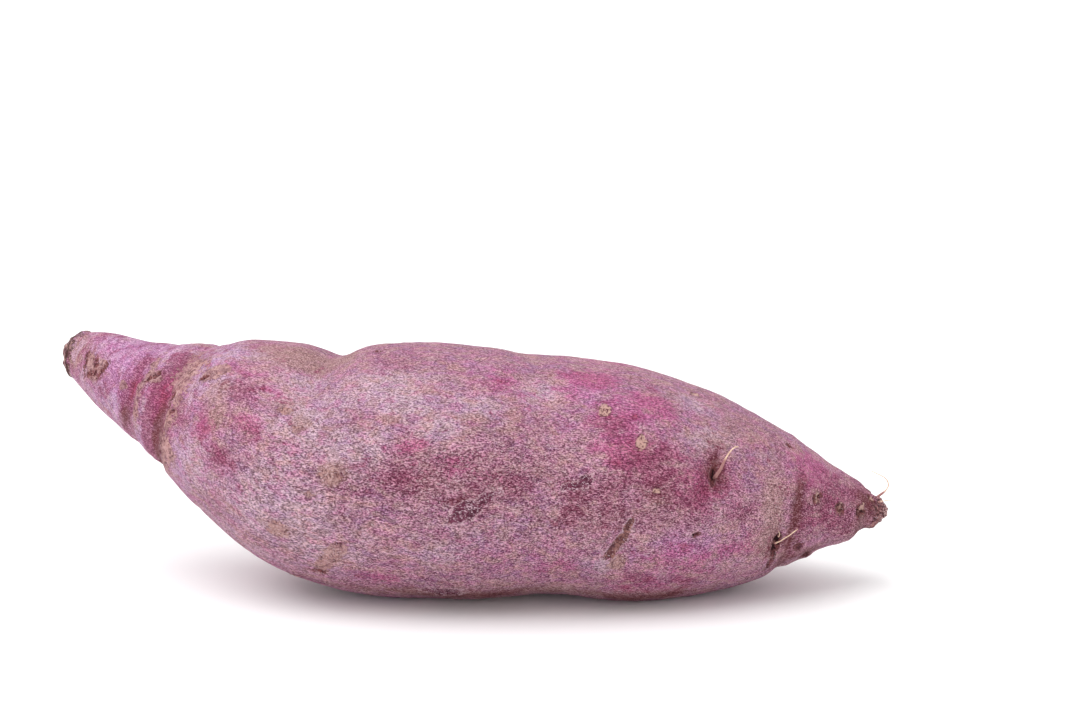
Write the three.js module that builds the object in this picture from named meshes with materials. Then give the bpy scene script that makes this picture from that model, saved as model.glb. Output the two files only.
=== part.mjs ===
// A whole purple yam: one swollen storage root, lying on its belly as it does on a table.
// Millimetres, +X along the root towards its tail, +Y to the back, +Z up, z = 0 at the table.
//
// The root is a sweep. A spine runs from the crown, where the vine was, to the tail. At each
// station the spine carries an oval section with its own half-depth and its own half-heights above
// and below. Growth rings, hollows and broad swells then change the section's radius. Five hair
// roots stand on it, each a thin tube of its own.
import * as THREE from "three";

// ---- Driving dimensions ----

// Spine and girth, one row a station, crown first:
// spine x, y, z, then the section's half-depth, half-height above and half-height below.
const STATIONS = [
  [-97.0, 27.0, 51.6, 4.6, 4.2, 5.2],
  [-89.5, 23.2, 49.3, 8.2, 8.2, 8.5],
  [-79.0, 17.8, 45.4, 12.4, 11.6, 11.8],
  [-66.5, 11.6, 41.6, 17.4, 16.4, 16.2],
  [-53.0, 6.4, 37.2, 23.2, 22.8, 21.9],
  [-37.5, 2.6, 32.2, 28.4, 26.8, 26.8],
  [-21.0, 0.6, 30.0, 31.0, 28.9, 29.4],
  [-4.0, 0.0, 29.4, 31.4, 29.2, 29.7],
  [14.5, 0.0, 28.6, 30.4, 28.0, 27.8],
  [31.5, 0.0, 27.4, 29.6, 26.6, 27.5],
  [46.5, 0.2, 25.2, 27.0, 24.6, 25.6],
  [60.0, 0.6, 23.2, 22.4, 20.6, 21.9],
  [71.5, 1.0, 22.0, 17.0, 16.1, 17.1],
  [81.0, 1.4, 21.0, 11.2, 10.6, 11.1],
  [89.0, 1.8, 20.2, 6.6, 6.4, 6.6],
  [95.0, 2.0, 18.8, 2.6, 2.4, 2.4],
];
const CROWN_DOME = 2.8; // how far the corky crown scar stands out past the first station
const TAIL_DOME = 1.6; // the same for the torn tail
const SQUARENESS = 2.08; // exponent of the oval section: 2 is an ellipse, more is fuller
const BELLY_PRESS = 0.9; // how far the belly is pressed flat where the root rests
const PRESS_BLEND = 0.25; // half the height over which the flat runs out into the round

// Growth rings: the root was pinched here. Each runs all round at spine x "at", set towards the
// crown by "bow" on the near side and by "lean" on top. Its depth goes from "top" to "under", and
// a negative depth is a raised ring.
const RINGS = [
  { at: -73.8, bow: 0.0, lean: 1.4, width: 2.2, top: 0.6, under: 0.4 },
  { at: -64.6, bow: 0.0, lean: 1.4, width: 2.6, top: 1.2, under: 0.8 },
  { at: -58.4, bow: 0.0, lean: 1.4, width: 4.0, top: -0.6, under: -0.1 },
  { at: 73.2, bow: 1.0, lean: -1.3, width: 2.2, top: 0.3, under: 1.2 },
];

// Hollows: at spine x "at" and at "angle" round the section, in degrees, where 0 faces -Y,
// 90 is the top and 180 the back. "along" and "across" are their half-widths.
const HOLLOWS = [
  { name: "saddle", at: -38.0, angle: 95, along: 7.5, across: 24.0, depth: 3.0 },
  { name: "near eye", at: 39.0, angle: 6, along: 8.0, across: 7.0, depth: 0.9 },
  { name: "slit", at: 33.3, angle: 346, along: 3.0, across: 6.0, depth: 1.0 },
  { name: "flank rootlet's eye", at: 51.3, angle: 27, along: 2.6, across: 4.6, depth: 1.5 },
  { name: "collar rootlet's eye", at: 68.6, angle: 342, along: 2.4, across: 4.4, depth: 1.5 },
  { name: "back eye", at: -12.0, angle: 168, along: 3.4, across: 5.6, depth: 1.3 },
  { name: "upper back eye", at: 24.0, angle: 136, along: 2.8, across: 5.0, depth: 1.1 },
  { name: "tail back eye", at: 62.0, angle: 172, along: 2.6, across: 4.2, depth: 1.2 },
  { name: "belly eye", at: 12.0, angle: 246, along: 3.0, across: 5.2, depth: 1.0 },
  { name: "fold under the collar", at: 77.5, angle: 302, along: 2.0, across: 5.0, depth: 1.0 },
];

// Broad swells: a wave of this height, this length along the root and this many turns round it.
const SWELLS = [
  { height: 0.3, length: 74, turns: 2, phase: 0.6 },
  { height: 0.25, length: 43, turns: 1, phase: 2.1 },
  { height: 0.2, length: 31, turns: 3, phase: 4.0 },
];

// Hair roots: where each leaves the skin, its thickness, and its path as steps from there, in mm.
const HAIR_ROOTS = [
  {
    name: "flank_rootlet",
    at: 52.8,
    angle: 24,
    thickness: 0.6,
    path: [
      [0.0, 0.0, 0.0],
      [0.7, -1.3, 1.6],
      [1.5, -2.1, 3.8],
      [2.5, -2.3, 5.7],
      [3.8, -1.9, 7.0],
      [4.9, -1.2, 7.0],
    ],
  },
  {
    name: "collar_rootlet",
    at: 69.0,
    angle: 337,
    thickness: 0.5,
    path: [
      [0.0, 0.0, 0.0],
      [1.5, -0.9, 1.1],
      [3.2, -1.5, 2.5],
      [5.0, -1.7, 4.0],
    ],
  },
  {
    name: "collar_rootlet_short",
    at: 69.3,
    angle: 343,
    thickness: 0.4,
    path: [
      [0.0, 0.0, 0.0],
      [0.1, -0.8, 0.8],
      [-0.2, -1.1, 1.8],
    ],
  },
  {
    name: "tail_rootlet_curled",
    at: 93.5,
    angle: 80,
    thickness: 0.5,
    path: [
      [0.0, 0.0, 0.0],
      [1.1, 0.1, 0.9],
      [1.8, 0.2, 2.2],
      [1.2, 0.4, 3.7],
      [-0.6, 0.6, 4.7],
      [-2.7, 0.8, 5.7],
    ],
  },
  {
    name: "tail_rootlet_short",
    at: 94.0,
    angle: 40,
    thickness: 0.4,
    path: [
      [0.0, 0.0, 0.0],
      [0.9, -0.1, 0.3],
      [2.0, -0.2, 0.4],
      [3.2, -0.1, 0.4],
    ],
  },
];
const ROOTLET_GAP = 0.35; // a hair root's tube starts this far off the skin

// Mesh fineness
const RING_SPACING = 2.6;
const SIDES = 48;
const CAP_RINGS = 3;
const ROOTLET_SIDES = 8;
const ROOTLET_STEPS_A_SPAN = 3;

// ---- Materials ----

const skinFinish = new THREE.MeshStandardMaterial({
  name: "skin",
  color: 0xa56c82,
  roughness: 0.62,
  metalness: 0,
});
const rootletFinish = new THREE.MeshStandardMaterial({
  name: "rootlet",
  color: 0xcfa68c,
  roughness: 0.75,
  metalness: 0,
});

// ---- The root's form ----

const spine = new THREE.CatmullRomCurve3(
  STATIONS.map(([x, y, z]) => new THREE.Vector3(x, y, z)),
  false,
  "catmullrom",
  0.5,
);
// The three half-sizes ride in a second curve over the same stations.
const girth = new THREE.CatmullRomCurve3(
  STATIONS.map((row) => new THREE.Vector3(row[3], row[4], row[5])),
  false,
  "catmullrom",
  0.5,
);
const UP = new THREE.Vector3(0, 0, 1);

// Share t of the stations, from 0 to 1, at which the spine passes x.
function shareAt(x) {
  let low = 0;
  let high = 1;
  for (let i = 0; i < 40; i++) {
    const middle = (low + high) / 2;
    if (spine.getPoint(middle).x < x) low = middle;
    else high = middle;
  }
  return (low + high) / 2;
}

const dip = (distance, width) => Math.exp(-((distance / width) ** 2));
const wrapped = (angle) => Math.atan2(Math.sin(angle), Math.cos(angle));

// How far the skin stands out (+) or in (-) at spine x and angle, on a section of this radius.
function relief(x, angle, radius) {
  let out = 0;
  const upper = 0.5 + 0.5 * Math.sin(angle);
  for (const ring of RINGS) {
    const place = ring.at - ring.bow * Math.cos(angle) - ring.lean * Math.sin(angle);
    const depth = THREE.MathUtils.lerp(ring.under, ring.top, upper);
    out -= depth * dip(x - place, ring.width);
  }
  for (const hollow of HOLLOWS) {
    const turn = wrapped(angle - THREE.MathUtils.degToRad(hollow.angle));
    out -= hollow.depth * dip(x - hollow.at, hollow.along) * dip(radius * turn, hollow.across);
  }
  for (const swell of SWELLS) {
    out += swell.height * Math.sin((2 * Math.PI * x) / swell.length + swell.turns * angle + swell.phase);
  }
  return out;
}

// Height over the table once the belly is pressed flat: 0 on the flat, then a smooth run-out.
function settled(z) {
  const height = z - BELLY_PRESS;
  if (height > PRESS_BLEND) return height;
  return Math.max(height + PRESS_BLEND, 0) ** 2 / (4 * PRESS_BLEND);
}

// A point of the skin at share t and angle. A section inside an end dome is pushed out along the
// spine by "out" and shrunk by "shrink".
function skinPoint(t, angle, out = 0, shrink = 1) {
  const centre = spine.getPoint(t);
  const along = spine.getTangent(t);
  const up = UP.clone().addScaledVector(along, -along.z).normalize();
  const near = new THREE.Vector3().crossVectors(along, up);
  const half = girth.getPoint(t);
  const rounded = (value) => Math.sign(value) * Math.abs(value) ** (2 / SQUARENESS);
  const sine = rounded(Math.sin(angle));
  let across = half.x * rounded(Math.cos(angle)) * shrink;
  let high = (sine > 0 ? half.y : half.z) * sine * shrink;
  const radius = Math.hypot(across, high);
  const MIN_RADIUS = 4; // below this the relief fades out, so that the tips stay round
  const grown = 1 + relief(centre.x, angle, radius) / Math.max(radius, MIN_RADIUS);
  across *= grown;
  high *= grown;
  const point = centre
    .addScaledVector(along, out)
    .addScaledVector(near, across)
    .addScaledVector(up, high);
  point.z = settled(point.z);
  return point;
}

// The skin's outward direction, from two short steps over it.
function skinNormal(t, angle) {
  const STEP = 0.004;
  const onward = skinPoint(t + STEP, angle).sub(skinPoint(t - STEP, angle));
  const round = skinPoint(t, angle + 10 * STEP).sub(skinPoint(t, angle - 10 * STEP));
  return onward.cross(round).normalize();
}

// Closed surface of the whole root: dome rings, body rings, dome rings, and a pole at each end.
function tuberGeometry() {
  const sections = [];
  for (let i = 1; i <= CAP_RINGS; i++) {
    const lean = (Math.PI / 2) * (1 - i / (CAP_RINGS + 1));
    sections.push({ t: 0, out: -CROWN_DOME * Math.sin(lean), shrink: Math.cos(lean) });
  }
  const bodyRings = Math.round(spine.getLength() / RING_SPACING);
  for (let i = 0; i <= bodyRings; i++) {
    sections.push({ t: spine.getUtoTmapping(i / bodyRings), out: 0, shrink: 1 });
  }
  for (let i = CAP_RINGS; i >= 1; i--) {
    const lean = (Math.PI / 2) * (1 - i / (CAP_RINGS + 1));
    sections.push({ t: 1, out: TAIL_DOME * Math.sin(lean), shrink: Math.cos(lean) });
  }

  const points = [skinPoint(0, 0, -CROWN_DOME, 0)];
  for (const { t, out, shrink } of sections) {
    for (let j = 0; j < SIDES; j++) {
      points.push(skinPoint(t, (2 * Math.PI * j) / SIDES, out, shrink));
    }
  }
  points.push(skinPoint(1, 0, TAIL_DOME, 0));

  const corner = (ring, side) => 1 + ring * SIDES + (side % SIDES);
  const tailPole = points.length - 1;
  const triangles = [];
  for (let j = 0; j < SIDES; j++) {
    triangles.push(0, corner(0, j), corner(0, j + 1));
    triangles.push(tailPole, corner(sections.length - 1, j + 1), corner(sections.length - 1, j));
  }
  for (let i = 0; i + 1 < sections.length; i++) {
    for (let j = 0; j < SIDES; j++) {
      triangles.push(corner(i, j), corner(i + 1, j), corner(i + 1, j + 1));
      triangles.push(corner(i, j), corner(i + 1, j + 1), corner(i, j + 1));
    }
  }
  const geometry = new THREE.BufferGeometry().setFromPoints(points);
  geometry.setIndex(triangles);
  geometry.computeVertexNormals();
  return geometry;
}

// A hair root: a thin round tube along its path, starting just off the skin.
function rootletGeometry({ at, angle, thickness, path }) {
  const t = shareAt(at);
  const turn = THREE.MathUtils.degToRad(angle);
  const foot = skinPoint(t, turn).addScaledVector(skinNormal(t, turn), ROOTLET_GAP + thickness / 2);
  const route = new THREE.CatmullRomCurve3(
    path.map(([x, y, z]) => new THREE.Vector3(x, y, z).add(foot)),
  );
  const section = new THREE.Shape(
    Array.from({ length: ROOTLET_SIDES }, (_, i) => {
      const corner = (2 * Math.PI * i) / ROOTLET_SIDES;
      return new THREE.Vector2(Math.cos(corner), Math.sin(corner)).multiplyScalar(thickness / 2);
    }),
  );
  return new THREE.ExtrudeGeometry(section, {
    steps: ROOTLET_STEPS_A_SPAN * (path.length - 1),
    extrudePath: route,
    bevelEnabled: false,
  });
}

// ---- Assembly ----

function named(name, geometry, material) {
  const mesh = new THREE.Mesh(geometry, material);
  mesh.name = name;
  return mesh;
}

const root = new THREE.Group();
root.add(named("tuber", tuberGeometry(), skinFinish));
for (const rootlet of HAIR_ROOTS) {
  root.add(named(rootlet.name, rootletGeometry(rootlet), rootletFinish));
}

// The frame's origin is on the table, under the middle of the root's box.
const box = new THREE.Box3().setFromObject(root);
const middle = box.getCenter(new THREE.Vector3());
root.position.set(-middle.x, -middle.y, -box.min.z);

const yam = new THREE.Group();
yam.add(root);

export default yam;
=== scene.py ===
# %% [markdown]
# # A whole purple yam
# A purple yam is one swollen storage root. Its skin is a thin, flaky bark over magenta flesh, so
# it is never one colour: dusty mauve, lavender bloom, tan dust and magenta blush lie over each
# other. This lesson builds the skin as one numpy surface, marks it with the scars and eyes that a
# real root has, and paints it with a node material that reads those marks.

import math
from types import SimpleNamespace

import bpy
import numpy as np
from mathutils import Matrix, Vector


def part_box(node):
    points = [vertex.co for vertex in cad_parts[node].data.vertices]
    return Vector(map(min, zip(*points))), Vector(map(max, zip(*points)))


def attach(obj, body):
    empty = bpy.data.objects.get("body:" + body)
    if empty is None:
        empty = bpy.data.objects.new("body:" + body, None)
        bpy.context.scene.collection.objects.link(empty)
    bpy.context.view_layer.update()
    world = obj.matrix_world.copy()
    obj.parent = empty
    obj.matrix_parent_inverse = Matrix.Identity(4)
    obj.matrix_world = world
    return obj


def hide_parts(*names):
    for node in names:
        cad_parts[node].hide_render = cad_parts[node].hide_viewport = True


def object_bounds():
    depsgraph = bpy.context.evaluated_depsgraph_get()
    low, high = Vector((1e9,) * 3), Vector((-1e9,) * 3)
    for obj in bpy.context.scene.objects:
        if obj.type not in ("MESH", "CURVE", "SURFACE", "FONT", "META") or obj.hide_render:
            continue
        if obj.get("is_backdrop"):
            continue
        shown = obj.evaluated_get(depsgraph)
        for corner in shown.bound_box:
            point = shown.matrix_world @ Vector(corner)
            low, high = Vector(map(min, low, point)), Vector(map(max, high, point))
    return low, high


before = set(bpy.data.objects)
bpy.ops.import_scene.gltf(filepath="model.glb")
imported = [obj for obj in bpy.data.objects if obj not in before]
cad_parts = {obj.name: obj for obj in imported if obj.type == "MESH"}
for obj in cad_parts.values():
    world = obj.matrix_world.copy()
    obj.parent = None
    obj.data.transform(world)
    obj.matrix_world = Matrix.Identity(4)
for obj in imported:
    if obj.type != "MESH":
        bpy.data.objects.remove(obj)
cad_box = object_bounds()


def rounded_mm(box):
    """Corners in mm, for printing."""
    return [[round(1000 * v, 1) for v in corner] for corner in box]


print("frame:", sorted(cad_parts), "box in mm:", rounded_mm(cad_box))

# %% [markdown]
# ## The root's form
# A root could be sculpted by hand, but then nobody could change its girth with a number. Here it
# is a sweep: a spine runs from the crown to the tail, and at each station it carries an oval. The
# numbers are millimetres, +X runs to the tail and z = 0 is the table.

# %% Stations along the spine, and the broad forms of growth
MM = 0.001
# Spine x, y, z, then the oval's half-depth, half-height above and half-height below.
STATIONS = np.array([
    [-97.0, 27.0, 51.6, 4.6, 4.2, 5.2],
    [-89.5, 23.2, 49.3, 8.2, 8.2, 8.5],
    [-79.0, 17.8, 45.4, 12.4, 11.6, 11.8],
    [-66.5, 11.6, 41.6, 17.4, 16.4, 16.2],
    [-53.0, 6.4, 37.2, 23.2, 22.8, 21.9],
    [-37.5, 2.6, 32.2, 28.4, 26.8, 26.8],
    [-21.0, 0.6, 30.0, 31.0, 28.9, 29.4],
    [-4.0, 0.0, 29.4, 31.4, 29.2, 29.7],
    [14.5, 0.0, 28.6, 30.4, 28.0, 27.8],
    [31.5, 0.0, 27.4, 29.6, 26.6, 27.5],
    [46.5, 0.2, 25.2, 27.0, 24.6, 25.6],
    [60.0, 0.6, 23.2, 22.4, 20.6, 21.9],
    [71.5, 1.0, 22.0, 17.0, 16.1, 17.1],
    [81.0, 1.4, 21.0, 11.2, 10.6, 11.1],
    [89.0, 1.8, 20.2, 6.6, 6.4, 6.6],
    [95.0, 2.0, 18.8, 2.6, 2.4, 2.4],
])
CROWN_DOME, TAIL_DOME = 2.8, 1.6
SQUARENESS = 2.08
MIN_RADIUS = 4.0
BELLY_PRESS, PRESS_BLEND = 0.9, 0.25
# Growth rings: spine x, shift towards the crown on the near side and on top, width,
# depth on top and depth underneath.
RINGS = [
    (-73.8, 0.0, 1.4, 2.2, 0.6, 0.4),
    (-65.4, 0.6, 0.2, 3.0, 1.0, 0.7),
    (-58.4, 0.0, 1.4, 4.0, -0.6, -0.1),
    (73.2, 1.0, -1.3, 2.2, 0.0, 0.7),
]
# Hollows: spine x, angle, half-width along and across, depth.
HOLLOWS = [
    (-38.0, 95, 7.5, 24.0, 3.0), (39.0, 6, 8.0, 7.0, 0.9), (33.3, 346, 3.0, 6.0, 1.0),
    (51.3, 27, 2.6, 4.6, 1.5), (68.6, 342, 2.4, 4.4, 1.5), (-12.0, 168, 3.4, 5.6, 1.3),
    (24.0, 136, 2.8, 5.0, 1.1), (62.0, 172, 2.6, 4.2, 1.2), (12.0, 246, 3.0, 5.2, 1.0),
    (77.5, 302, 2.0, 5.0, 1.0),
]
# Swells: height, length, turns round the root, phase.
SWELLS = [(0.3, 74, 2, 0.6), (0.25, 43, 1, 2.1), (0.2, 31, 3, 4.0)]
print("stations:", len(STATIONS))

# %% [markdown]
# ## The grid
# The surface is a function of two parameters: how far along the spine, and the angle round it,
# with 0 facing the front, 90 the top and 180 the back. Every quantity below is one whole array
# over that grid. The rings sit about 0.6 mm apart, so a 1 mm scar gets a shape of its own.

# %% Rings from pole to pole
BODY_RINGS, DOME_RINGS, SIDES = 320, 8, 292
SPINE_SAMPLES = 4001


def smooth_path(points, t):
    """Catmull-Rom curve: a cubic between points t and t + 1 that leaves each point in the
    direction from the point before it to the point after it."""
    p = np.vstack([2 * points[0] - points[1], points, 2 * points[-1] - points[-2]])
    i = np.clip(np.floor(t).astype(int), 0, len(points) - 2)
    f = (t - i)[:, None]
    a, b, c, d = p[i], p[i + 1], p[i + 2], p[i + 3]
    return 0.5 * (2 * b + (c - a) * f + (2 * a - 5 * b + 4 * c - d) * f**2
                  + (3 * b - a - 3 * c + d) * f**3)


def unit(vectors):
    """Each vector divided by its own length."""
    return vectors / np.linalg.norm(vectors, axis=-1, keepdims=True)


last = len(STATIONS) - 1.0
fine_t = np.linspace(0, last, SPINE_SAMPLES)
strides = np.linalg.norm(np.diff(smooth_path(STATIONS[:, :3], fine_t), axis=0), axis=1)
length_at = np.concatenate([[0], np.cumsum(strides)])
spine_length = length_at[-1]
body_t = np.interp(np.linspace(0, spine_length, BODY_RINGS), length_at, fine_t)
lean = np.linspace(np.pi / 2, 0, DOME_RINGS, endpoint=False)  # 90 degrees at the pole
t = np.concatenate([np.zeros(DOME_RINGS), body_t, np.full(DOME_RINGS, last)])
shrink = np.concatenate([np.cos(lean), np.ones(BODY_RINGS), np.cos(lean[::-1])])
shrink[[0, -1]] = 0.0
dome_out = np.concatenate([-CROWN_DOME * np.sin(lean), np.zeros(BODY_RINGS),
                           TAIL_DOME * np.sin(lean[::-1])])
arc = np.interp(t, fine_t, length_at) + dome_out
print("rings:", len(t), "spine length in mm:", round(float(spine_length), 1))

# %% The sections, with growth rings, hollows and swells
SLOPE_STEP = 1e-3


def wrapped(turn):
    """The same turn as an angle from minus pi to pi, from its sine and cosine."""
    return np.arctan2(np.sin(turn), np.cos(turn))


def dip(distance, width):
    """A bell: 1 at distance 0, and e to the minus 1 at this width."""
    return np.exp(-((distance / width) ** 2))


def rounded(value):
    """The oval's own sine and cosine: raised to a power just under 1, so the oval is fuller."""
    return np.sign(value) * np.abs(value) ** (2 / SQUARENESS)


rows = smooth_path(STATIONS, t)
inside = np.clip(t, SLOPE_STEP, last - SLOPE_STEP)
along = unit(smooth_path(STATIONS[:, :3], inside + SLOPE_STEP)
             - smooth_path(STATIONS[:, :3], inside - SLOPE_STEP))
up = unit(np.array([0.0, 0.0, 1.0]) - along * along[:, 2:])
near = np.cross(along, up)

x = rows[:, :1]
angle = np.linspace(0, 2 * np.pi, SIDES, endpoint=False)[None, :]
sine = rounded(np.sin(angle))
full_across = rows[:, 3:4] * rounded(np.cos(angle))
full_high = np.where(sine > 0, rows[:, 4:5], rows[:, 5:6]) * sine
across, high = full_across * shrink[:, None], full_high * shrink[:, None]
radius, girth = np.hypot(across, high), np.hypot(full_across, full_high)

growth = np.zeros_like(radius)
for at, bow, tilt, width, top, under in RINGS:
    ring_x = at - bow * np.cos(angle) - tilt * np.sin(angle)
    growth -= (under + (top - under) * (0.5 + 0.5 * np.sin(angle))) * dip(x - ring_x, width)
for at, turned, long, wide, depth in HOLLOWS:
    round_it = radius * wrapped(angle - math.radians(turned))
    growth -= depth * dip(x - at, long) * dip(round_it, wide)
for height, length, turns, phase in SWELLS:
    growth += height * np.sin(2 * np.pi * x / length + turns * angle + phase)
grown = 1 + growth / np.maximum(radius, MIN_RADIUS)
straight = np.stack([arc[:, None] + 0 * angle, across * grown, high * grown], axis=-1)
plain = (rows[:, None, :3] + (along * dome_out[:, None])[:, None]
         + straight[..., 1:2] * near[:, None] + straight[..., 2:3] * up[:, None])
print("plain form in mm:", np.ptp(plain.reshape(-1, 3), axis=0).round(1))

# %% [markdown]
# ## The marks on the skin
# A root's history is written on its skin: round breathing pores, dark eyes where hair roots come
# out, corky scars that healed, and scuffs where the bark has peeled. Painting them by hand would
# need an image. Here each mark is an oval patch on the surface, given by its place, its size in
# mm and its turn. A patch is worth 1 at its middle, 0 at its edge and less outside, so the same
# numbers can press the mark into the mesh and tell the material where to change colour.

# %% Patches, bands and a smooth random field
RING_WANDER = 0.5
ALL_ROUND = 400  # degrees, so that a band with no sector never fades
SECTOR_EDGE = 1.6


def patch(at, turned, long, wide, tilt=0):
    """One less the distance from the patch's middle, counted in ovals of the given half-length
    and half-width. tilt turns the oval on the skin, in degrees."""
    dx = x - at
    da = girth * wrapped(angle - math.radians(turned))
    c, s = math.cos(math.radians(tilt)), math.sin(math.radians(tilt))
    return 1 - np.hypot((dx * c + da * s) / long, (da * c - dx * s) / wide)


def lumpy(points, size, seed):
    """Smooth random field from -1 to 1. Random numbers stand on a lattice of this size in mm, and
    each point blends the eight nearest of them with an ease curve. Each seed has its own field."""
    cell = points / size
    cell = cell - np.floor(cell.min(axis=(0, 1)))
    low = np.floor(cell).astype(int)
    weight = (cell - low) ** 2 * (3 - 2 * (cell - low))
    numbers = np.random.default_rng(seed).uniform(-1, 1, low.max(axis=(0, 1)) + 2)
    total = 0
    for corner in np.ndindex(2, 2, 2):
        share = np.prod(np.where(corner, weight, 1 - weight), axis=-1)
        total = total + share * numbers[tuple(np.moveaxis(low + np.array(corner), -1, 0))]
    return total


wander = lumpy(straight, 4.0, 11)
broken = lumpy(straight, 5.0, 17)
crumb = lumpy(straight, 1.3, 21)


def line_round(at, bow, tilt):
    """Distance in mm along the root from a line that runs all round it and wanders a little. The
    line shifts towards the crown by bow on the near side and by tilt on top."""
    return x - (at - bow * np.cos(angle) - tilt * np.sin(angle)) + RING_WANDER * wander


def band(line, middle, half_width, turned=0, reach=ALL_ROUND):
    """1 in the middle of a band beside a line round the root, 0 at its edges. It also falls to 0
    at "reach" degrees from the angle "turned"."""
    sector = (1 - np.abs(wrapped(angle - math.radians(turned))) / math.radians(reach)) * SECTOR_EDGE
    return np.minimum(1 - np.abs(line - middle) / half_width, sector)


def ease(value, low, high):
    """0 below low, 1 above high, and an S-curve between them. With low above high it runs the
    other way."""
    f = np.clip((value - low) / (high - low), 0, 1)
    return f * f * (3 - 2 * f)


neck_ring = line_round(-65.6, 0.3, 0.9)
crown_ring = line_round(-74.3, 0.0, 1.4)
shoulder_ring = line_round(-54.9, 0.0, -0.6)
tail_ring = line_round(73.2, 1.0, -1.3)
print("patches and bands are arrays of", radius.shape)

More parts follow.
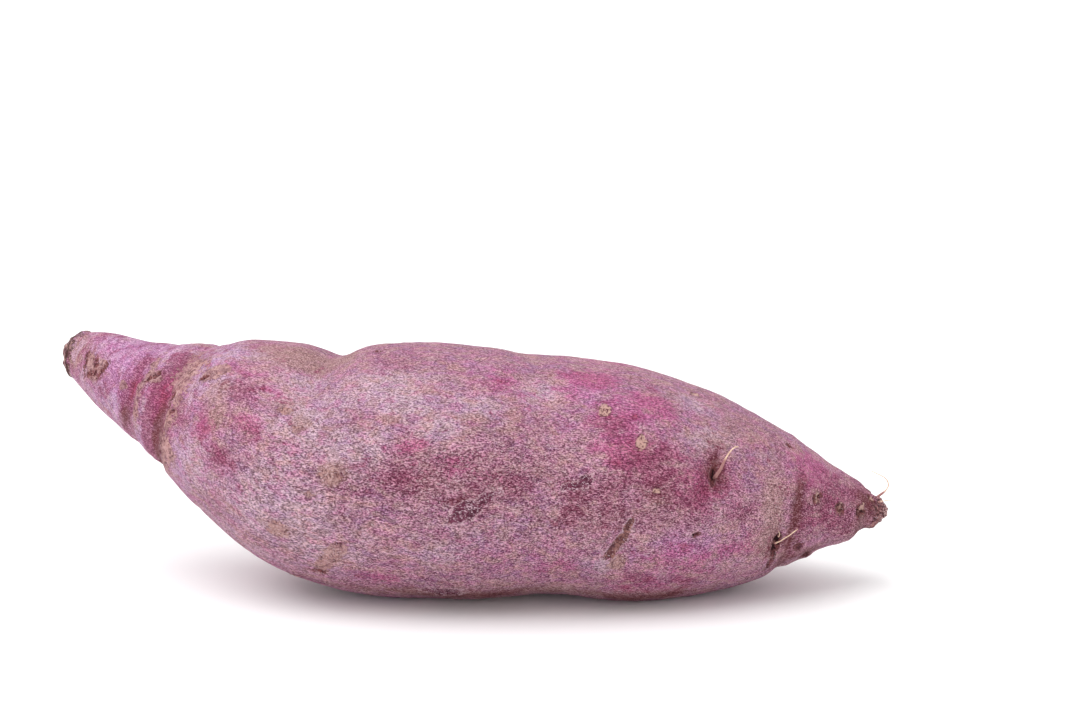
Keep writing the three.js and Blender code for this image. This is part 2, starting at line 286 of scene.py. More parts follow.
# %% The marks, kind by kind, with crisp edges
# Each row is a patch: spine x, angle, half-length, half-width, tilt, strength. A strength over 1
# gives the mark a flat middle, and one under 1 makes it faint.
MARKS = {
    # Healed cork: tan, raised a little and cracked.
    "cork": [
        (-58.6, 49.5, 3.4, 1.9, 50, 2.8), (-77.8, 17, 1.5, 1.3, 0, 2.0),
        (-71.4, 38, 1.8, 2.2, 60, 1.5), (-88.7, 19, 1.5, 2.4, 30, 1.5),
        (-85.5, 22, 1.3, 2.6, -20, 1.5), (-87.2, 3, 1.7, 1.5, 20, 1.5),
        (-28.4, 327, 5.4, 1.8, 69, 2.2), (-27.0, 334, 3.2, 2.1, 60, 2.2),
        (33.4, 335, 2.6, 2.1, 50, 1.8), (-28.6, 10, 2.0, 2.3, 60, 0.8),
        (-32.5, 0, 1.2, 0.8, 0, 1.0), (-37.0, 339, 2.0, 2.4, 0, 1.5),
        (-42.2, 37, 1.8, 1.0, 0, 1.0), (-37.8, 29, 1.4, 1.0, 0, 1.0),
        (-14, 142, 3.0, 1.6, 20, 1.0), (44, 200, 2.4, 2.0, 50, 1.0),
        (-46, 214, 3.2, 1.8, -30, 1.0), (6, 232, 2.2, 1.4, 10, 1.0), (-80, 150, 2.0, 1.6, 0, 1.0),
        (70, 240, 1.8, 1.5, 0, 1.0), (-20, 268, 2.6, 1.9, 35, 1.0), (50, 118, 1.6, 1.1, -20, 1.0),
    ],
    # Peeled bark: wine dark, a little sunken.
    "scuff": [
        (-1.6, -2, 3.6, 1.9, 32, 1.3), (3.4, 5, 2.9, 1.2, 38, 1.3), (21.6, 11, 1.8, 0.8, 10, 1.0),
        (24.7, 14, 1.1, 1.1, 30, 1.0), (-6.9, 309, 4.2, 2.4, 0, 1.0),
        (-30, 160, 4.6, 1.7, -25, 1.0), (34, 222, 3.4, 1.5, 20, 1.0),
        (-56, 128, 2.6, 1.2, 30, 1.0), (12, 112, 2.4, 1.0, -15, 1.0),
    ],
    # Breathing pores: round, with a thin dark rim and a pale middle.
    "pore": [
        (27.7, 51, 1.5, 1.9, 0, 1.4), (35.5, 36, 1.5, 2.2, 0, 1.4), (39.6, 13, 1.0, 0.9, 0, 1.0),
        # Four eyes on the tail, then the pores of the back, the top and the underside.
        (77.7, 21, 0.9, 1.6, 0, 1.1), (83.6, 11, 0.9, 1.5, 0, 1.1), (89.0, 9, 1.1, 1.5, 0, 1.0),
        (91.7, 48, 0.9, 1.5, 0, 1.0), (14, 155, 1.5, 1.4, 0, 1.0), (-22, 205, 1.3, 1.6, 0, 1.0),
        (40, 165, 1.2, 1.5, 0, 1.0), (-50, 176, 1.4, 1.2, 0, 1.0), (28, 258, 1.4, 1.4, 0, 1.0),
        (-8, 112, 1.2, 1.4, 0, 1.0), (58, 210, 1.1, 1.3, 0, 1.0), (79, 150, 0.9, 1.2, 0, 1.0),
        (84, 230, 0.9, 1.1, 0, 1.0), (-35, 300, 1.2, 1.3, 0, 1.0), (2, 190, 1.0, 1.2, 0, 1.0),
        (47, 80, 1.1, 1.3, 0, 1.0),
    ],
    # Slits, pits and specks: dark, and the deepest of all.
    "pit": [
        (51.8, 26, 3.5, 0.6, 90, 1.2), (69.2, 338, 4.2, 1.0, 85, 2.0),
        (68.5, 321, 2.0, 0.7, 78, 0.8), (-24.6, 84, 1.3, 0.8, 0, 1.0),
        (49.9, 353, 1.2, 0.6, 20, 1.0), (70.7, 64, 0.9, 1.2, 0, 0.6),
        (74.7, 332, 1.0, 1.8, 10, 0.55), (-12, 168, 3.6, 0.9, 80, 1.0),
        (24, 136, 3.0, 0.8, 70, 1.0), (62, 172, 2.8, 0.8, 80, 1.0), (12, 246, 3.2, 0.8, 75, 1.0),
        (77.4, 302, 1.2, 3.0, 0, 1.0), (-68, 200, 1.4, 0.8, 60, 1.0), (90, 130, 1.0, 1.2, 0, 1.0),
        (-6, 60, 0.7, 0.4, 0, 1.0), (-30.2, 317, 1.5, 1.0, 0, 0.8),
        # The dark end of the neck's oval scar, and the cracks beside it.
        (-60.2, 44.5, 1.5, 0.55, 50, 0.9), (-72.0, 34, 1.3, 0.45, 80, 0.9),
        (-70.8, 40.5, 1.6, 0.45, 84, 0.9),
        # Short cracks across the ridge round the neck.
        (-65.2, 27, 0.45, 1.6, 12, 0.6), (-63.6, 15, 0.4, 1.3, -20, 0.6),
        (-65.2, 18, 0.4, 1.3, 14, 0.6), (-64.6, 338, 0.4, 1.2, 10, 0.5),
        (-66.2, 318, 0.4, 1.4, -12, 0.7),
        # Fine broken cracks: round the tip's scar, and round the eyes on the tail.
        (-90.0, 18, 0.6, 2.2, 14, 0.4), (-84.6, 22, 0.6, 2.6, -16, 0.45),
        (-87.6, 4, 2.0, 0.6, 40, 0.35), (-87.0, 24, 0.5, 1.4, 30, 0.3),
        (76.9, 20, 0.5, 1.7, 8, 0.9), (78.4, 24, 0.5, 1.3, -14, 0.8),
        (82.9, 12, 0.5, 1.3, 4, 0.9), (84.2, 9, 0.5, 1.2, -8, 0.7), (88.2, 9, 0.55, 1.6, 10, 0.8),
        (89.4, 5, 1.0, 0.5, 30, 0.8), (91.2, 51, 0.5, 1.5, 6, 0.9), (92.2, 42, 0.8, 0.5, 20, 0.8),
    ],
    # A healed gash: brown and smooth, with pale lips.
    "gash": [
        (34.9, 355, 2.2, 0.75, 70, 1.5), (33.2, 346, 3.7, 1.2, 58, 1.5),
        (31.6, 340, 2.2, 1.3, 50, 1.0),
    ],
}
# How far crumbs of bark fray each kind's edge.
FRAY = {"cork": 0.55, "scuff": 0.7, "pore": 0.3, "pit": 0.2, "gash": 0.15}
shapes = {kind: [strength * patch(*place) for *place, strength in patches]
          for kind, patches in MARKS.items()}
# Cork also grows in broken bands beside the rings of the neck.
shapes["cork"] += [
    band(neck_ring, 1.9, 2.6, 18, 62) - 0.3 - 1.2 * broken,
    band(crown_ring, 2.0, 1.3, 28, 55) - 0.5 - 0.7 * broken,
    band(neck_ring, 1.7, 1.3, 190, 90) - 0.6 - 0.7 * broken,
    band(crown_ring, 0.4, 1.2, 200, 80) - 0.6 - 0.7 * broken,
]
marks = {kind: np.maximum.reduce(found).clip(-1, 1) + FRAY[kind] * (0.6 * crumb + 0.4 * wander)
         for kind, found in shapes.items()}
print({kind: len(found) for kind, found in shapes.items()})

# %% [markdown]
# ## The colour zones
# Between its marks the skin drifts from one colour to the next, as the bark wears thin, dries out
# or keeps its powder. The shade and dust zones also hold painted shade, in the creases, the
# hollows and along the lower side. One noise for the whole root would spread the colours evenly,
# which a real root never does. So each colour has a list of soft places, and the material frays
# their edges with noise. Each list runs from crown to tail, first over the front half, then over
# the back.

# %% The colour zones, kind by kind, with soft edges


def cloud(*places):
    """Soft zone. Each place is a bell that fades from its strength at the middle to about a third
    of it at its half-length and half-width, and the strongest place wins."""
    bells = [strength * np.exp(-((1 - patch(at, turned, long, wide)) ** 2))
             for at, turned, long, wide, strength in places]
    return np.maximum.reduce(bells)


# Each place is spine x, angle, half-length, half-width, strength.
PLACES = {
    # Magenta blush, where the bark is thin over the flesh.
    "blush": [
        (-83, 54, 8, 4, 0.5), (-74.3, 18, 1.4, 4.5, 1.4), (-71.5, 58, 5, 4, 0.5),
        (-70.6, 22, 1.6, 4, 0.7), (-67.3, 27, 1.8, 7, 1.5), (-56.4, 14, 2.8, 3.8, 1.0),
        (-54.3, 55, 7, 3, 0.5), (-51.8, 2, 3, 4, 0.45), (-48.6, 24, 4.2, 3.0, 0.9),
        (-46, 46, 4, 4, 0.6), (-38.6, 23, 6, 5, 0.45), (-17.9, -40, 3.6, 3.2, 0.8),
        (-14.1, 25, 5, 2.6, 0.75), (-5, 270, 14, 8, 0.6), (-2, 17, 14, 5, 0.35),
        (5, 56, 6, 5, 0.35), (6.4, -25, 5, 3, 0.4), (7, 62, 7, 6, 0.6), (20.4, -29, 6, 4.5, 0.65),
        (22, 62, 7, 6, 0.6), (24.3, 72, 6, 5.5, 1.15), (32, 47, 7, 7, 0.95),
        (32.5, 31, 8, 6.5, 1.0), (35, 280, 9, 8, 0.7), (37, 58, 7, 6, 0.9),
        (40.6, -44, 11, 6, 0.7), (43, 28, 4.5, 4, 0.6), (49.6, 18, 7, 7, 0.75),
        (50.3, -26, 13, 7, 0.7), (60.5, -18, 6, 4, 0.6), (76, 46, 6, 7, 1.0),
        (77, 58, 3, 3.5, 0.8), (77.8, -6, 5, 4, 0.6), (82, 20, 5, 4, 0.5),
        (-84, 170, 8, 6, 0.5), (-60, 190, 9, 8, 0.7), (-40, 250, 9, 9, 0.5),
        (-20, 150, 12, 9, 0.7), (10, 210, 14, 8, 0.7), (30, 105, 8, 5, 0.7), (50, 140, 9, 8, 0.8),
        (72, 220, 9, 7, 0.8),
    ],
    # Worn bark, rosy brown, with the grain wide open.
    "worn": [
        (-50, 2, 5, 6, 0.5), (-11, 18, 8, 5, 0.8), (-2.4, 14, 18, 7, 1.0), (14, 17, 10, 6, 0.7),
        (38, -1, 22, 3.6, 0.8), (40.2, 13, 5, 4, 0.6), (43, 27, 5, 4.5, 0.8),
        (49.6, 14, 6, 6, 0.5), (80, 12, 8, 8, 0.5),
        (-30, 195, 15, 8, 0.8), (-10, 240, 14, 7, 0.7), (10, 140, 10, 5, 0.5),
        (38, 190, 10, 7, 0.7), (60, 230, 8, 6, 0.6),
    ],
    # Lavender-grey bloom, a powder on the sound bark.
    "bloom": [
        (-84, -15, 5, 6, 0.7), (-84, 56, 1.4, 3, 0.9), (-80, 37, 1.2, 4, 1.0),
        (-80, 60, 6, 4, 0.4), (-79.5, -14, 1.8, 5, 1.3), (-75.7, -6, 4, 6, 0.7),
        (-72, -40, 9, 6, 0.4), (-70.6, -11, 1.7, 7, 1.5), (-70, 54, 7, 7, 0.75),
        (-61, 58, 4, 5, 0.8), (-59, 70, 10, 3, 1.0), (-58.8, 4, 2.0, 6, 0.6),
        (-58, 42, 7, 7, 0.7), (-56.5, -12, 5, 10, 0.85), (-55, -14, 7, 7, 0.7),
        (-45, -44, 14, 5, 0.6), (-45, 46, 5, 4, 1.0), (-44, 29, 6, 5, 0.7), (-41, 56, 10, 6, 0.8),
        (-40, 8, 8, 5, 0.6), (-40, 40, 8, 5, 0.75), (-40, 56, 8, 5, 0.7),
        (-38, -12, 13, 11, 0.95), (-37.5, 32, 6, 6, 1.5), (-37, 14, 6, 6, 0.7),
        (-31, 46, 8, 7, 0.7), (-30, -28, 8, 6, 0.9), (-28, 23, 8, 6, 0.9), (-25, 14, 4, 4, 0.6),
        (-25, 285, 12, 7, 0.6), (-23, -21, 11, 8, 0.5), (-22.5, 22, 5, 4, 1.0),
        (-22, 27, 7, 6, 0.75), (-19, 55, 13, 7, 0.95), (-15, 44, 7, 5, 0.75),
        (-15, 46, 7, 4, 1.6), (-8.6, -21, 12, 6, 0.6), (-7.5, 34, 5, 4, 1.0), (0, 46, 8, 5, 0.8),
        (1.7, -9, 12, 4, 0.45), (5, 48, 7, 4, 0.35), (13, 60, 6, 5, 0.7), (14, 58, 7, 5, 0.9),
        (15, 300, 14, 7, 0.4), (27, -26, 6, 3, 0.5), (30, -27, 3.5, 3, 0.9), (46, 69, 8, 5, 0.7),
        (50, 46, 8, 5, 0.8), (55, -4, 5.5, 3, 0.45), (56, -28, 9, 3.4, 0.6), (64, 45, 6, 5, 0.3),
        (-70, 165, 8, 8, 0.8), (-38, 195, 12, 9, 0.6), (-8, 125, 12, 7, 0.8),
        (25, 180, 14, 9, 0.7), (60, 160, 8, 8, 0.6),
    ],
    # Tan and olive dust, dried soil and dead bark. The long, narrow bands on the lower side
    # are painted shade, and the brown in the saddle on top is partly painted shade.
    "dust": [
        (-93.8, 28, 2.6, 5, 1.0), (-87.6, 16, 3, 3.5, 0.9), (-66, 64, 3, 6, 0.7),
        (-56.5, 36, 3.0, 5, 0.8), (-54.2, 22, 1.7, 4.0, 1.3), (-44, 80, 11, 7, 1.2),
        (-43, 40, 5.5, 3.4, 0.7), (-37.8, -19, 3, 3, 0.6), (-37, 33, 4, 3, 0.7),
        (-33, 84, 5, 5, 1.0), (-28.4, 11, 3.5, 3.5, 1.2), (-10, 12, 3, 6, 0.7),
        (-5, 305, 22, 4.5, 0.9), (2, -44, 15, 3.4, 0.5), (5, 285, 16, 10, 0.7),
        (7, 35, 7, 2.4, 0.6), (21, -53, 16, 4, 0.9), (23, -4, 11, 7, 0.5), (31, 0, 6, 6, 0.4),
        (40, 308, 20, 4.5, 0.8), (40.5, 11, 4, 4, 0.9), (52, 46, 6, 3, 0.7), (53, 20, 3, 3, 0.5),
        (59, 64, 10, 6, 0.55), (66.5, -16, 4, 6, 1.0), (67, 13, 3.6, 9, 1.0),
        (68, 8, 2.4, 12, 0.8),
        (-52, 145, 7, 7, 0.6), (-30, 230, 12, 8, 0.7), (0, 165, 9, 7, 0.6), (40, 240, 12, 8, 0.6),
        (66, 130, 6, 8, 0.6),
    ],
    # Red-brown in the creases, round the eyes and in the hollows: partly the skin's own colour and
    # partly painted shade. The long, narrow bands on the lower side and the patch under the tail's end
    # are painted shade only.
    "shade": [
        (-88, 20, 4, 4, 0.4), (-75.4, -14, 1.8, 4, 0.8), (-71, 36, 3, 3, 0.6),
        (-64.8, -5, 2.0, 9, 0.6), (-25, -54, 10, 3, 0.5), (0, -56, 22, 4, 0.8),
        (0, 2, 5, 3.5, 0.5), (23, 12, 3.6, 1.8, 0.5), (33.4, -13, 2.2, 4.5, 0.5),
        (40, 8, 4, 5, 0.35), (41, -56, 15, 4, 0.8), (52.2, 29, 2.2, 4.6, 1.1),
        (69.2, -24, 2.0, 5.0, 0.8), (76, -44, 8, 3, 0.7), (77.5, 302, 2.2, 5, 0.9),
        (90, -26, 4, 5, 0.8), (90, 28, 3, 4, 0.7), (92, 0, 3, 20, 0.5),
        (-12, 168, 3, 4, 0.7), (12, 246, 2.8, 4, 0.7), (24, 136, 2.6, 4, 0.7),
        (62, 172, 2.6, 4, 0.7),
    ],
    # Plum skin, darker than the blush: beside the neck's creases, on the flank and on the tail.
    "plum": [
        (-87, 12, 3.2, 3.4, 0.9), (-84, -6, 5, 4, 0.5), (-83, 8, 4, 5, 0.4),
        (-75.2, -5, 2.2, 8, 1.2), (-74, 20, 4, 7, 0.8), (-72, -8, 5, 5, 0.6),
        (-67.5, 34, 2, 5, 1.3), (-60, 12, 3, 4, 0.6), (-52, 40, 4, 5, 0.6),
        (-51.2, 3, 2.4, 3.2, 0.75), (-47.2, 21, 3.0, 2.4, 0.6), (-24, 6, 4, 3, 0.5),
        (-20, 70, 8, 5, 0.5), (-15, 12, 6, 4.5, 0.8), (0.6, 3, 5, 3.6, 0.9), (8, 10, 6, 5, 0.7),
        (22, -2, 5, 4, 0.7), (22, 8, 6, 4, 0.7), (30, 10, 5, 5, 1.0), (30, 44, 4, 4, 0.8),
        (37, 24, 8, 8, 1.0), (37.5, 10, 4, 4, 0.6), (39, -36, 6, 4, 0.5), (46, 12, 9, 5, 0.8),
        (49, -36, 7, 4, 0.5), (52, 27, 4, 7, 1.0), (52.4, 32, 4, 5, 1.0), (60, 5, 5, 5, 0.6),
        (74.4, -34, 1.8, 2.6, 1.4), (74.5, 4, 3, 8, 0.9), (80, 18, 8, 9, 0.8),
        (85, -6, 7, 6, 0.8), (89, 40, 6, 7, 0.9),
        (-78, 200, 6, 8, 0.6), (-30, 190, 12, 7, 0.6), (-15, 250, 9, 7, 0.6), (0, 130, 9, 6, 0.5),
        (20, 205, 12, 8, 0.7), (35, 250, 10, 8, 0.6), (55, 165, 8, 8, 0.8), (82, 200, 8, 12, 0.8),
    ],
    # Orchid skin: a clear pinkish violet, mostly on the young, smooth neck.
    "orchid": [
        (-82, 20, 7, 5, 0.5), (-82, 36, 6, 8, 1.0), (-82, 62, 9, 9, 1.0), (-76, -4, 4, 6, 0.5),
        (-76, 26, 5, 8, 1.1), (-75, 74, 5, 6, 1.0), (-50, -2, 4, 3, 0.5), (-46, 38, 5, 6, 0.5),
        (-20, 290, 10, 6, 0.4), (0, 68, 6, 4, 0.5), (14, -28, 7, 4, 0.4), (15, 8, 3.4, 3.6, 0.6),
        (24, 64, 6, 7, 0.8), (30, 45, 4, 4, 0.6), (33, 50, 9, 8, 0.7), (45, -32, 8, 5, 0.5),
        (45, 14, 5, 4, 0.5), (49, -12, 9, 7, 0.8), (60, -16, 4, 4, 0.4), (77, 48, 6, 5, 0.6),
        (-84, 230, 8, 8, 0.6), (-75, 150, 10, 10, 0.8), (-45, 165, 7, 6, 0.5),
        (5, 220, 9, 6, 0.6), (40, 150, 10, 7, 0.6), (65, 205, 7, 6, 0.6),
    ],
}
zones = {kind: cloud(*places) for kind, places in PLACES.items()}
print({kind: len(places) for kind, places in PLACES.items()})

# %% Zones that follow the rings, and the coarseness of the bark
# Painted shade in the folds of the rings, over their own red-brown, joins the shade zone.
zones["shade"] = np.maximum.reduce([
    zones["shade"],
    ease(band(tail_ring, 0.2, 2.8, -10, 72), 0, 1.2),
    0.6 * ease(band(tail_ring, 0.2, 1.4, 190, 120), 0, 0.9),
    (1.0 + 0.5 * wander) * ease(band(neck_ring, -0.3, 2.0, -25, 65), 0, 1.0),
    (0.45 + 0.6 * wander) * ease(band(crown_ring, -0.2, 1.3, -10, 70), 0, 1.0),
    0.25 * ease(band(shoulder_ring, -1.0, 1.6, 12, 60), 0, 0.9),
])
zones["plum"] = np.maximum.reduce([
    zones["plum"],
    band(neck_ring, -1.6, 3.8, 10, 75) * (1.9 + 0.5 * wander),
    band(crown_ring, -0.4, 2.3, 12, 70) * (1.2 + 0.6 * wander),
    band(neck_ring, -2.0, 2.6, 200, 110) * (0.6 + 0.6 * wander),
]).clip(0, 1)
# Coarse bark with open grain: the lower front and the middle. The neck is smooth.
downward = ease(-np.sin(angle), -0.75, -0.1)
past_neck = ease(x, -66, -40)
zones["coarse"] = np.clip(past_neck * (0.5 + 0.35 * downward) + cloud((0, 12, 24, 13, 0.4)), 0, 1)
marks.update(zones)
print("fields for the mesh and the material:", list(marks))

# %% [markdown]
# ## Pressing the marks into the mesh
# Shape that the eye can see has to be real geometry, because a bump only bends the light. So the
# marks are pressed into the surface along its normals: creases fold in, cork swells and crumbles,
# pores have a rim, and slits go deep. The finer grain of the bark is left to the material.

# %% Relief of the growth: lumps, swells and creases
NECK_FOLD, CROWN_FOLD, TAIL_FOLD, SHOULDER_FOLD = 0.4, 0.25, 0.2, 0.18
NECK_RIDGE, CROWN_RIDGE, TAIL_RIDGE = 0.25, 0.14, 0.14

relief = 0.17 * lumpy(straight, 8.0, 1) + 0.09 * lumpy(straight, 3.2, 2)
# A swell and a hollow on top, and two swells under the tail.
relief += 0.8 * cloud((4.5, 88, 4.5, 12, 1.0)) - 0.8 * cloud((26, 90, 6, 12, 1.0))
relief += cloud((78.2, 285, 1.6, 8, 0.9), (87.5, 280, 3.5, 12, 0.9))
# Grains of bark, longer along the root than across it.
stretched = straight * np.array([0.45, 1.0, 1.0])
relief += (0.03 + 0.05 * marks["coarse"]) * lumpy(stretched, 1.1, 3)
# Creases: a narrow fold in each growth ring, away from the top, and a ridge beside three.
below = ease(-np.sin(angle), -0.85, -0.2)
relief -= below * (NECK_FOLD * dip(neck_ring + 0.5, 1.0) * ease(wander, -1.0, 0.4)
                   + CROWN_FOLD * dip(crown_ring, 0.8))
relief -= below * (TAIL_FOLD * dip(tail_ring, 1.6) + SHOULDER_FOLD * dip(shoulder_ring, 0.8))
relief += (NECK_RIDGE * dip(neck_ring - 1.9, 1.3) + CROWN_RIDGE * dip(crown_ring - 1.6, 0.9)
           + TAIL_RIDGE * dip(tail_ring + 1.8, 1.0))
# Fine wrinkles round the neck.
relief += 0.12 * lumpy(straight * np.array([1.0, 0.25, 0.25]), 1.2, 9) * dip(x + 70, 9)
print("relief of the growth in mm:", relief.min().round(2), "to", relief.max().round(2))

# %% Relief of the marks
CORK_RISE, CORK_CRUMB = 0.14, 0.16
SCUFF_DEPTH, SCUFF_CRUMB = 0.26, 0.06
PORE_RIM, PORE_DEPTH = 0.22, 0.28
PIT_DEPTH, PIT_LIP = 1.1, 0.2
GASH_DEPTH, GASH_LIP = 0.55, 0.14

relief += ease(marks["cork"], -0.1, 0.5) * (CORK_RISE + CORK_CRUMB * crumb)
relief -= ease(marks["scuff"], -0.1, 0.35) * (SCUFF_DEPTH + SCUFF_CRUMB * crumb)
relief += PORE_RIM * dip(marks["pore"] - 0.12, 0.22) - PORE_DEPTH * ease(marks["pore"], 0.2, 0.7)
relief -= PIT_DEPTH * ease(marks["pit"], 0.0, 0.9) + GASH_DEPTH * ease(marks["gash"], -0.1, 0.8)
relief += GASH_LIP * dip(marks["gash"] + 0.4, 0.35)
relief += PIT_LIP * dip(marks["pit"] + 0.35, 0.35) * ease(marks["shade"], 0.3, 0.7)
print("with the marks:", relief.min().round(2), "to", relief.max().round(2))

# %% Relief of the two ends: a dished scar inside a lip, and a tail torn into strands
# Distance in mm past the edge of each end's dome: above 0 on the dome, below 0 on the body.
down_spine = np.interp(body_t, fine_t, length_at)
far_off = np.full(DOME_RINGS, -spine_length)
crown_radius, tail_radius = STATIONS[0, 3], STATIONS[-1, 4]
crown = np.concatenate([crown_radius * lean, -down_spine, far_off])[:, None] + 0 * angle
tail = np.concatenate([far_off, down_spine - spine_length,
                       tail_radius * lean[::-1]])[:, None] + 0 * angle

# The crown: a lip that is higher on top, round a sunken and crumbled scar.
relief += (0.35 + 0.4 * np.maximum(np.sin(angle), 0)) * dip(crown + 1.0, 0.8)
relief += ease(crown, 0.0, 5.0) * (0.6 * crumb + 0.5 * lumpy(straight, 2.2, 7) - 0.9)
# Both ends are crumbly.
ends = np.maximum(ease(crown, -3.5, -1.0), ease(tail, -5.0, -1.0))
relief += 0.2 * ends * crumb + 0.2 * ease(x, 68, 82) * lumpy(straight, 2.8, 5)
# The tail: knobs behind a waist, then torn strands.
relief += (0.2 + 0.8 * lumpy(straight, 1.8, 6)) * dip(tail + 1.6, 1.2) - 0.4 * dip(tail + 4.6, 1.3)
tail_strands = lumpy(straight * np.array([0.2, 1.0, 1.0]), 1.1, 8)
relief += 0.9 * ease(tail, -5.0, -1.0) * tail_strands
relief[0], relief[-1] = relief[0].mean(), relief[-1].mean()
print("with the ends:", relief.min().round(2), "to", relief.max().round(2))

# %% The skin's points: the plain form, moved along its normals, with the belly pressed flat


def settled(height):
    """Height over the table once the belly is pressed flat: 0 on the flat, a parabola where the
    flat runs out into the round, and the same height less the press above that."""
    left = height - BELLY_PRESS
    soft = np.maximum(left + PRESS_BLEND, 0) ** 2 / (4 * PRESS_BLEND)
    return np.where(left > PRESS_BLEND, left, soft)


onward = np.gradient(plain, axis=0)
around = np.roll(plain, -1, axis=1) - np.roll(plain, 1, axis=1)
normal = np.cross(onward, around)
normal[0], normal[-1] = -along[0], along[-1]
skin_points = plain + unit(normal) * relief[..., None]
skin_points[..., 2] = settled(skin_points[..., 2])
print("skin in mm:", np.ptp(skin_points.reshape(-1, 3), axis=0).round(1))

# %% [markdown]
# ## From points to a mesh
# The points still need faces. Quads join each ring to the next, and a fan of triangles closes
# each pole, so the mesh has no seam and no hole. Every mark and zone goes with the points as an
# attribute, a number at each vertex, which a material can read without an image or a UV map.

# %% The mesh, closed at both poles, with its marks as attributes


def new_piece(name, vertices, faces, material=None):
    """A smooth-shaded mesh object at the origin. vertices are in metres."""
    mesh = bpy.data.meshes.new(name)
    mesh.from_pydata(vertices.tolist(), [], faces)
    mesh.polygons.foreach_set("use_smooth", np.ones(len(mesh.polygons), bool))
    if material:
        mesh.materials.append(material)
    piece = bpy.data.objects.new(name, mesh)
    bpy.context.scene.collection.objects.link(piece)
    return piece


def tube_faces(rings, sides):
    """Quads between rings 1 to rings - 2, and a fan of triangles to a pole at each end. Vertex 0
    is the first pole, and the last vertex is the other."""
    i, j = np.meshgrid(np.arange(rings - 3), np.arange(sides), indexing="ij")
    k = (j + 1) % sides
    quads = np.stack([i * sides + j, (i + 1) * sides + j, (i + 1) * sides + k, i * sides + k], -1)
    side, onto = np.arange(sides), (np.arange(sides) + 1) % sides
    end = 1 + (rings - 2) * sides
    first = np.stack([0 * side, 1 + side, 1 + onto], -1)
    final = np.stack([0 * side + end, end - sides + onto, end - sides + side], -1)
    return (quads.reshape(-1, 4) + 1).tolist() + first.tolist() + final.tolist()


def without_doubles(grid):
    """The grid as a list of points, with each end ring as the one point of its pole."""
    body = grid[1:-1].reshape(-1, *grid.shape[2:])
    return np.concatenate([grid[0, :1], body, grid[-1, :1]])


def keep_field(piece, name, grid):
    """Stores a grid on the piece as an attribute: for each vertex one number, or a vector."""
    values = without_doubles(grid)
    kind, key = ("FLOAT", "value") if values.ndim == 1 else ("FLOAT_VECTOR", "vector")
    field = piece.data.attributes.new(name, kind, "POINT")
    field.data.foreach_set(key, values.astype(np.float32).ravel())


cad_low, cad_high = (np.array(corner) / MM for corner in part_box("tuber"))
own_low, own_high = plain[..., :2].min(axis=(0, 1)), plain[..., :2].max(axis=(0, 1))
to_frame = np.append((cad_low[:2] + cad_high[:2] - own_low - own_high) / 2, 0)
tuber = new_piece("tuber_skin", (without_doubles(skin_points) + to_frame) * MM,
                  tube_faces(*radius.shape))
ragged_crown = crown + 1.4 * lumpy(straight, 3.6, 8)
for name, grid in {**marks, "crown": ragged_crown, "tail": tail, "straight": straight}.items():
    keep_field(tuber, name, grid)
triangles = sum(len(face.vertices) - 2 for face in tuber.data.polygons)
print("shift to the frame in mm:", to_frame.round(2), "triangles:", triangles)

# %% [markdown]
# ## Hair roots
# The thin roots that fed the yam dry out, and a few stay on as stiff, pale whiskers. Each leaves
# the skin inside a brownish husk, thins towards its tip and kinks a little. A curve with a bevel
# would make an even wire, so each is a tapered tube with its own radius at each step.

# %% Tapered tubes along a path


def tapered_tube(path, radii, sides=10):
    """Rings of points round a path. Ring i has radius radii[i] and lies square to the path, on
    two directions that stand square to it and to each other."""
    ahead = unit(np.gradient(path, axis=0))
    one = unit(np.cross(ahead, np.array([0.0, 1.0, 0.25])))
    two = np.cross(ahead, one)
    turn = np.linspace(0, 2 * np.pi, sides, endpoint=False)[None, :, None]
    spokes = np.cos(turn) * one[:, None] + np.sin(turn) * two[:, None]
    return path[:, None] + radii[:, None, None] * spokes


def skin_at(at, turned):
    """The plain form's point and outward direction at a spine x and an angle in degrees."""
    ring = np.abs(x[:, 0] - at).argmin()
    side = int(round(turned / 360 * SIDES)) % SIDES
    return plain[ring, side], unit(normal[ring, side])


# Spine x, angle, thickness, husk's share of the length, then points in mm from the foot.
HAIR_ROOTS = {
    "flank_rootlet": (52.8, 24, 0.6, 0.62, [
        [0, 0, 0], [0.7, -1.3, 1.6], [1.5, -2.1, 3.8], [2.5, -2.3, 5.7], [3.8, -1.9, 7.0],
        [4.9, -1.2, 7.0]]),
    "collar_rootlet": (69, 337, 0.5, 0.42, [
        [0, 0, 0], [1.5, -0.9, 1.1], [3.2, -1.5, 2.5], [5.0, -1.7, 4.0]]),
    "collar_rootlet_short": (69.3, 343, 0.4, 0.5, [
        [0, 0, 0], [0.1, -0.8, 0.8], [-0.2, -1.1, 1.8]]),
    "tail_rootlet_curled": (93.5, 80, 0.5, 0.4, [
        [0, 0, 0], [1.1, 0.1, 0.9], [1.8, 0.2, 2.2], [1.2, 0.4, 3.7], [-0.6, 0.6, 4.7],
        [-2.7, 0.8, 5.7]]),
    "tail_rootlet_short": (94, 40, 0.4, 0.4, [
        [0, 0, 0], [0.9, -0.1, 0.3], [2.0, -0.2, 0.4], [3.2, -0.1, 0.4]]),
}
ROOTLET_GAP = 0.35
BURIED_DEPTHS = (1.6, 0.4)
RINGS_PER_STEP = 12
KINK, KINKS_EACH = 0.07, 9
HUSK_FRINGE = 0.08
TIP_TAPER = [0.9, 0.7, 0.45, 0.0]
STOP_SHORT = 1e-3  # of a path's last point, in steps

